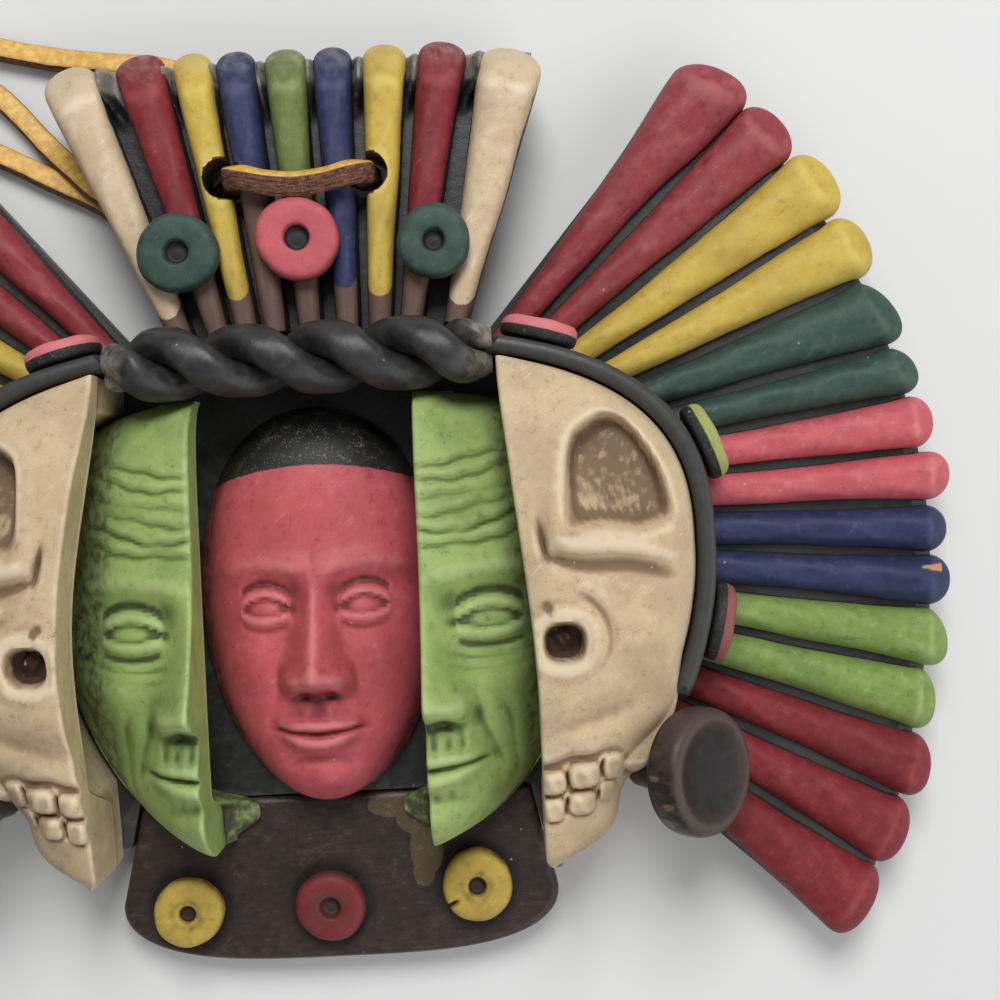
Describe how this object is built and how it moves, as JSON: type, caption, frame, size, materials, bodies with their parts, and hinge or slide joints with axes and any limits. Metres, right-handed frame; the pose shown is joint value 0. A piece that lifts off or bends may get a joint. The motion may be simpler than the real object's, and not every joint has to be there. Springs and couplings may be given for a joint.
{
  "type": "wall mask",
  "caption": "Painted terracotta wall mask of nested faces in a hood, with a feather crest, side feather fans, a collar and a leather lace to hang it by.",
  "frame": {"origin": "centre of the bounding box at the flat back of the mask, lace left out", "axes": "+X across the mask to the right of the picture, +Y up the faces to the crest, +Z out of the faces"},
  "size_m": [0.1914, 0.1495, 0.0326],
  "materials": {
    "black_clay": "matt black paint over fired clay, dusty in the grooves",
    "bone_clay": "bone paint with a brown wash over fired clay",
    "cream_clay": "cream paint worn thin over fired clay",
    "brown_clay": "dark brown burnished clay",
    "leaf_clay": "leaf green paint over fired clay",
    "rose_clay": "rose red paint over fired clay",
    "crimson_clay": "crimson paint over fired clay",
    "pink_clay": "coral pink paint over fired clay",
    "yellow_clay": "ochre yellow paint over fired clay",
    "pine_clay": "dark green paint over fired clay",
    "navy_clay": "navy blue paint over fired clay",
    "olive_clay": "yellow green paint over fired clay",
    "lace_leather": "smooth yellow grain with a rough brown flesh side"
  },
  "bodies": {
    "root": {"hood": "black_clay", "young_face": "rose_clay", "headband_strand_lower": "black_clay", "headband_strand_upper": "black_clay", "collar": "brown_clay", "collar_disc_left": "yellow_clay", "collar_disc_middle": "crimson_clay", "collar_disc_right": "yellow_clay", "crest_slab": "black_clay", "crest_feather_green": "leaf_clay", "crest_disc_left": "pine_clay", "crest_disc_middle": "pink_clay", "crest_disc_right": "pine_clay", "lace_front": "lace_leather", "lace_loop": "lace_leather", "lace_tail": "lace_leather", "lace_knot": "lace_leather", "elder_half_right": "leaf_clay", "elder_half_left": "leaf_clay", "skull_half_right": "bone_clay", "skull_half_left": "bone_clay", "crest_feather_blue_right": "navy_clay", "crest_feather_blue_left": "navy_clay", "crest_feather_yellow_right": "yellow_clay", "crest_feather_yellow_left": "yellow_clay", "crest_feather_red_right": "crimson_clay", "crest_feather_red_left": "crimson_clay", "crest_feather_cream_right": "cream_clay", "crest_feather_cream_left": "cream_clay", "fan_crimson_top_right": "crimson_clay", "fan_crimson_top_left": "crimson_clay", "fan_yellow_right": "yellow_clay", "fan_yellow_left": "yellow_clay", "fan_dark_green_right": "pine_clay", "fan_dark_green_left": "pine_clay", "fan_pink_right": "pink_clay", "fan_pink_left": "pink_clay", "fan_navy_right": "navy_clay", "fan_navy_left": "navy_clay", "fan_leaf_green_right": "leaf_clay", "fan_leaf_green_left": "leaf_clay", "fan_crimson_low_right": "crimson_clay", "fan_crimson_low_left": "crimson_clay", "fan_slab_right": "black_clay", "fan_slab_left": "black_clay", "temple_disc_pink_right": "pink_clay", "temple_disc_pink_left": "pink_clay", "temple_disc_yellow_green_right": "olive_clay", "temple_disc_yellow_green_left": "olive_clay", "temple_disc_red_right": "crimson_clay", "temple_disc_red_left": "crimson_clay", "ear_spool_right": "brown_clay", "ear_spool_left": "brown_clay"}
  },
  "joints": []
}
